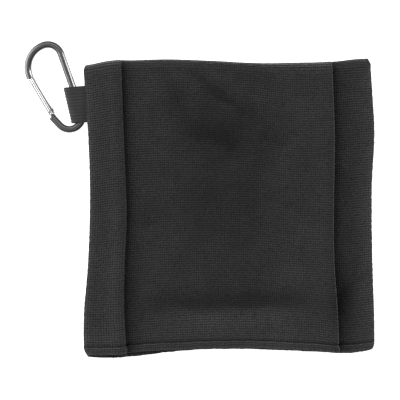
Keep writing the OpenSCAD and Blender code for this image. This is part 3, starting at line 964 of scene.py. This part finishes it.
latch_x, tongue_t = gate_run - 2.3, 1.5
cam = arc_points(np.array([0, -0.9]), 1.7, -np.pi * 0.98, 0.25 * np.pi, 16)
knuckle = arc_points(np.zeros(2), 1.4, 0.1 * np.pi, 0.75 * np.pi, 10)
hinge_tongue = in_gate(np.vstack([[[-4.4, -1.9]], cam, knuckle, [[-4.4, 1.3]]]))
claw = arc_points(np.array([latch_x, 0]), 0.7, np.pi, 0, 12)
near_side = [[latch_x - 1.4, -1.6], [latch_x - 0.7, -1.6]]
far_side = [[latch_x + 0.7, -1.6], [gate_run + 0.9, -1.6], [gate_run + 0.9, 1.6], [latch_x - 1.4, 1.6]]
nose_tongue = in_gate(np.vstack([near_side, claw, far_side]))
points, faces = join([sweep(bar_line, outline), plate(hinge_tongue, tongue_t), plate(nose_tongue, tongue_t)])
body = mesh_object("carabiner_bar", to_frame(points), faces)
body.data.materials.append(anodised)
face_outward(body)
soften = body.modifiers.new("soft_edges", "BEVEL")
soften.width, soften.segments, soften.limit_method, soften.angle_limit = 0.00025, 3, "ANGLE", np.radians(50)
soften.harden_normals = True
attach(body, "carabiner")
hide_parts("carabiner_body")
print("bar", len(body.data.polygons), "faces")

# %% [markdown]
# ## Gate
# The gate is a drawn tube. In its middle it is whole and hollow, with the spring inside. At both
# ends a slot runs right through it, one for the hinge tongue and one for the nose tongue, so only
# an upper and a lower cheek are left there.

# %% Gate tube
gate_r, bore_r, slot_half, gate_foot = 2.15, 1.27, 0.9, 2.5
slot_foot, slot_nose, gate_end = 3.2, latch_x - 2, gate_run - 0.4


def rounded(x0, x1, r, inner):
    """Profile of a tube's wall from x0 to x1, as a closed ring of (x, radius) with eased outer edges."""
    return [(x0, inner), (x0, r - 0.15), (x0 + 0.15, r), (x1 - 0.15, r), (x1, r - 0.15), (x1, inner)]


def spun(profile, around=64):
    """A closed profile turned right round the gate's axis."""
    a = np.linspace(0, 2 * np.pi, around, endpoint=False)
    x, r = np.array(profile).T
    body = np.stack([np.repeat(x[:, None], around, 1), r[:, None] * np.cos(a), r[:, None] * np.sin(a)], -1)
    faces = grid_faces(len(x), around, close_rows=True, close_cols=True)
    return body.reshape(-1, 3), [list(f) for f in faces]


def cheek(x0, x1, side):
    """What the slot leaves of the tube above (side 1) or below (side -1), with an eased outer end."""
    out, low = np.arcsin(slot_half / gate_r), np.arcsin(slot_half / bore_r)
    a, b = np.linspace(out, np.pi - out, 30), np.linspace(np.pi - low, low, 12)
    ring = np.vstack([gate_r * np.c_[np.cos(a), np.sin(a)], bore_r * np.c_[np.cos(b), np.sin(b)]])
    xs, scale = (x0, x0 + 0.12, x0 + 0.4, x1), (0.93, 0.98, 1.0, 1.0)
    if x0 > 5:
        xs, scale = (x0, x1 - 0.4, x1 - 0.12, x1), (1.0, 1.0, 0.98, 0.93)
    n = len(ring)
    body = np.array([np.c_[np.full(n, x), ring[:, 0] * k, side * ring[:, 1]] for x, k in zip(xs, scale)])
    faces = [list(f) for f in grid_faces(4, n, close_cols=True)]
    return body.reshape(-1, 3), faces + [list(range(n))[::-1], list(range(3 * n, 4 * n))]


gate_parts = [spun(rounded(slot_foot, slot_nose, gate_r, bore_r))]
for side in (1, -1):
    gate_parts += [cheek(-gate_foot, slot_foot, side), cheek(slot_nose, gate_end, side)]
points, faces = join(gate_parts)
points = np.concatenate([in_gate(points[:, :2]), points[:, 2:]], -1)
gate = mesh_object("gate_barrel", to_frame(points), faces)
gate.data.materials.append(polished)
face_outward(gate)
gate.data.set_sharp_from_angle(angle=np.radians(38))
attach(gate, "gate")
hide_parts("gate_tube")
print("gate", len(gate.data.polygons), "faces")

# %% [markdown]
# ## Gate spring
# A small steel spring inside the tube pushes the plunger against the hinge tongue. It is wire on a
# helix, eight turns long, drawn at rest; on the real gate it shortens by half a millimetre when the
# gate is opened.

# %% Spring
wire_r, coil_r, coil_turns, coil_start, coil_len, plunger_travel = 0.17, 0.96, 8, 6.0, 7.0, 0.516
turn_by = np.linspace(0, 2 * np.pi * coil_turns, coil_turns * 22)[:, None]
round_wire = np.linspace(0, 2 * np.pi, 8, endpoint=False)[None, :]
coil_x = coil_start + wire_r + (coil_len - 2 * wire_r) * turn_by / turn_by.max() + wire_r * np.sin(round_wire)
reach_out = coil_r + wire_r * np.cos(round_wire)
coil = np.stack([coil_x, reach_out * np.cos(turn_by), reach_out * np.sin(turn_by)], -1)
ring_count = len(turn_by)
coil_faces = [list(f) for f in grid_faces(ring_count, 8, close_cols=True)]
coil_faces += [list(range(8))[::-1], list(range((ring_count - 1) * 8, ring_count * 8))]
coil = coil.reshape(-1, 3)
coil = to_frame(np.concatenate([in_gate(coil[:, :2]), coil[:, 2:]], -1))
spring = mesh_object("gate_coil", coil, coil_faces)
spring.data.materials.append(steel)
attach(spring, "gate")
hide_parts("gate_spring")
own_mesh(spring)
print("spring", len(spring.data.polygons), "faces")

# %% [markdown]
# ## Finishes on the rigid parts
# The rigid parts keep their shapes from the frame and get their real finishes.

# %% Finishes
finishes = {
    "gate_hinge_rivet": steel,
    "gate_latch_pin": steel,
    "gate_plunger": steel,
    "loop_tack_thread": thread,
}
for name, finish in finishes.items():
    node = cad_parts[name]
    for slot in node.material_slots:
        slot.material = finish
    print(name, "is", finish.name)

# %% [markdown]

# %% [markdown]
# ## Table, light and camera
# The towel lies on a plain pale table that glows a little. A large softbox stands left, a narrow
# weaker one right, and a third hangs towards the top, so the metal shows soft bright bands and the
# pile stays matt. The camera looks straight down from high up.

# %% Stage
bpy.ops.mesh.primitive_plane_add(size=6, location=(0, 0, -0.0004))
table = bpy.context.active_object
table.name = "table"
board, t = material("pale_matt_board", "#f4f4f3")
coat(
    t,
    Base_Color=linear("#e6e6e6"),
    Roughness=0.9,
    Specular_IOR_Level=0.1,
    Emission_Color=linear("#ffffff"),
    Emission_Strength=0.9,
)
table.data.materials.append(board)


def softbox(name, place, aim, size, watts):
    """An area light at place, turned to face aim."""
    lamp = bpy.data.lights.new(name, "AREA")
    lamp.shape = "RECTANGLE"
    lamp.size, lamp.size_y = size
    lamp.energy = watts
    holder = bpy.data.objects.new(name, lamp)
    holder.location = place
    way = np.array(aim, float) - np.array(place, float)
    holder.rotation_euler = Vector(way.tolist()).to_track_quat("-Z", "Y").to_euler()
    bpy.context.scene.collection.objects.link(holder)
    return holder


softbox("left_softbox", (-1.3, 0.3, 0.8), (0, 0, 0), (1.3, 1.8), 33)
softbox("right_softbox", (1.26, 0.56, 0.73), (0, 0, 0), (0.34, 0.9), 11)
softbox("top_softbox", (0, 0.9, 1.5), (0, 0, 0), (1.4, 0.8), 10)
world = bpy.data.worlds.new("soft_room")
world.use_nodes = True
t = world.node_tree
t.nodes.clear()
sky = add(t, "ShaderNodeTexCoord")
sky_axes = add(t, "ShaderNodeSeparateXYZ", Vector=sky.outputs["Generated"])
dim, bright = 0.02, 0.5
glow = add(t, "ShaderNodeMapRange", Value=sky_axes.outputs["Z"], To_Min=dim, To_Max=bright)
ceiling = add(t, "ShaderNodeBackground", Color=(1.0, 1.0, 1.0, 1.0), Strength=glow.outputs[0])
add(t, "ShaderNodeOutputWorld", Surface=ceiling.outputs[0])
bpy.context.scene.world = world

height_over = 1.2
lens = bpy.data.cameras.new("overhead")
lens.lens = 160
lens.sensor_width = 36
lens.clip_end = 10
camera = bpy.data.objects.new("overhead", lens)
camera.location = (0.0003, -0.0003, height_over)
bpy.context.scene.collection.objects.link(camera)
bpy.context.scene.camera = camera
bpy.context.scene.view_settings.view_transform = "Standard"
bpy.context.scene.view_settings.look = "None"
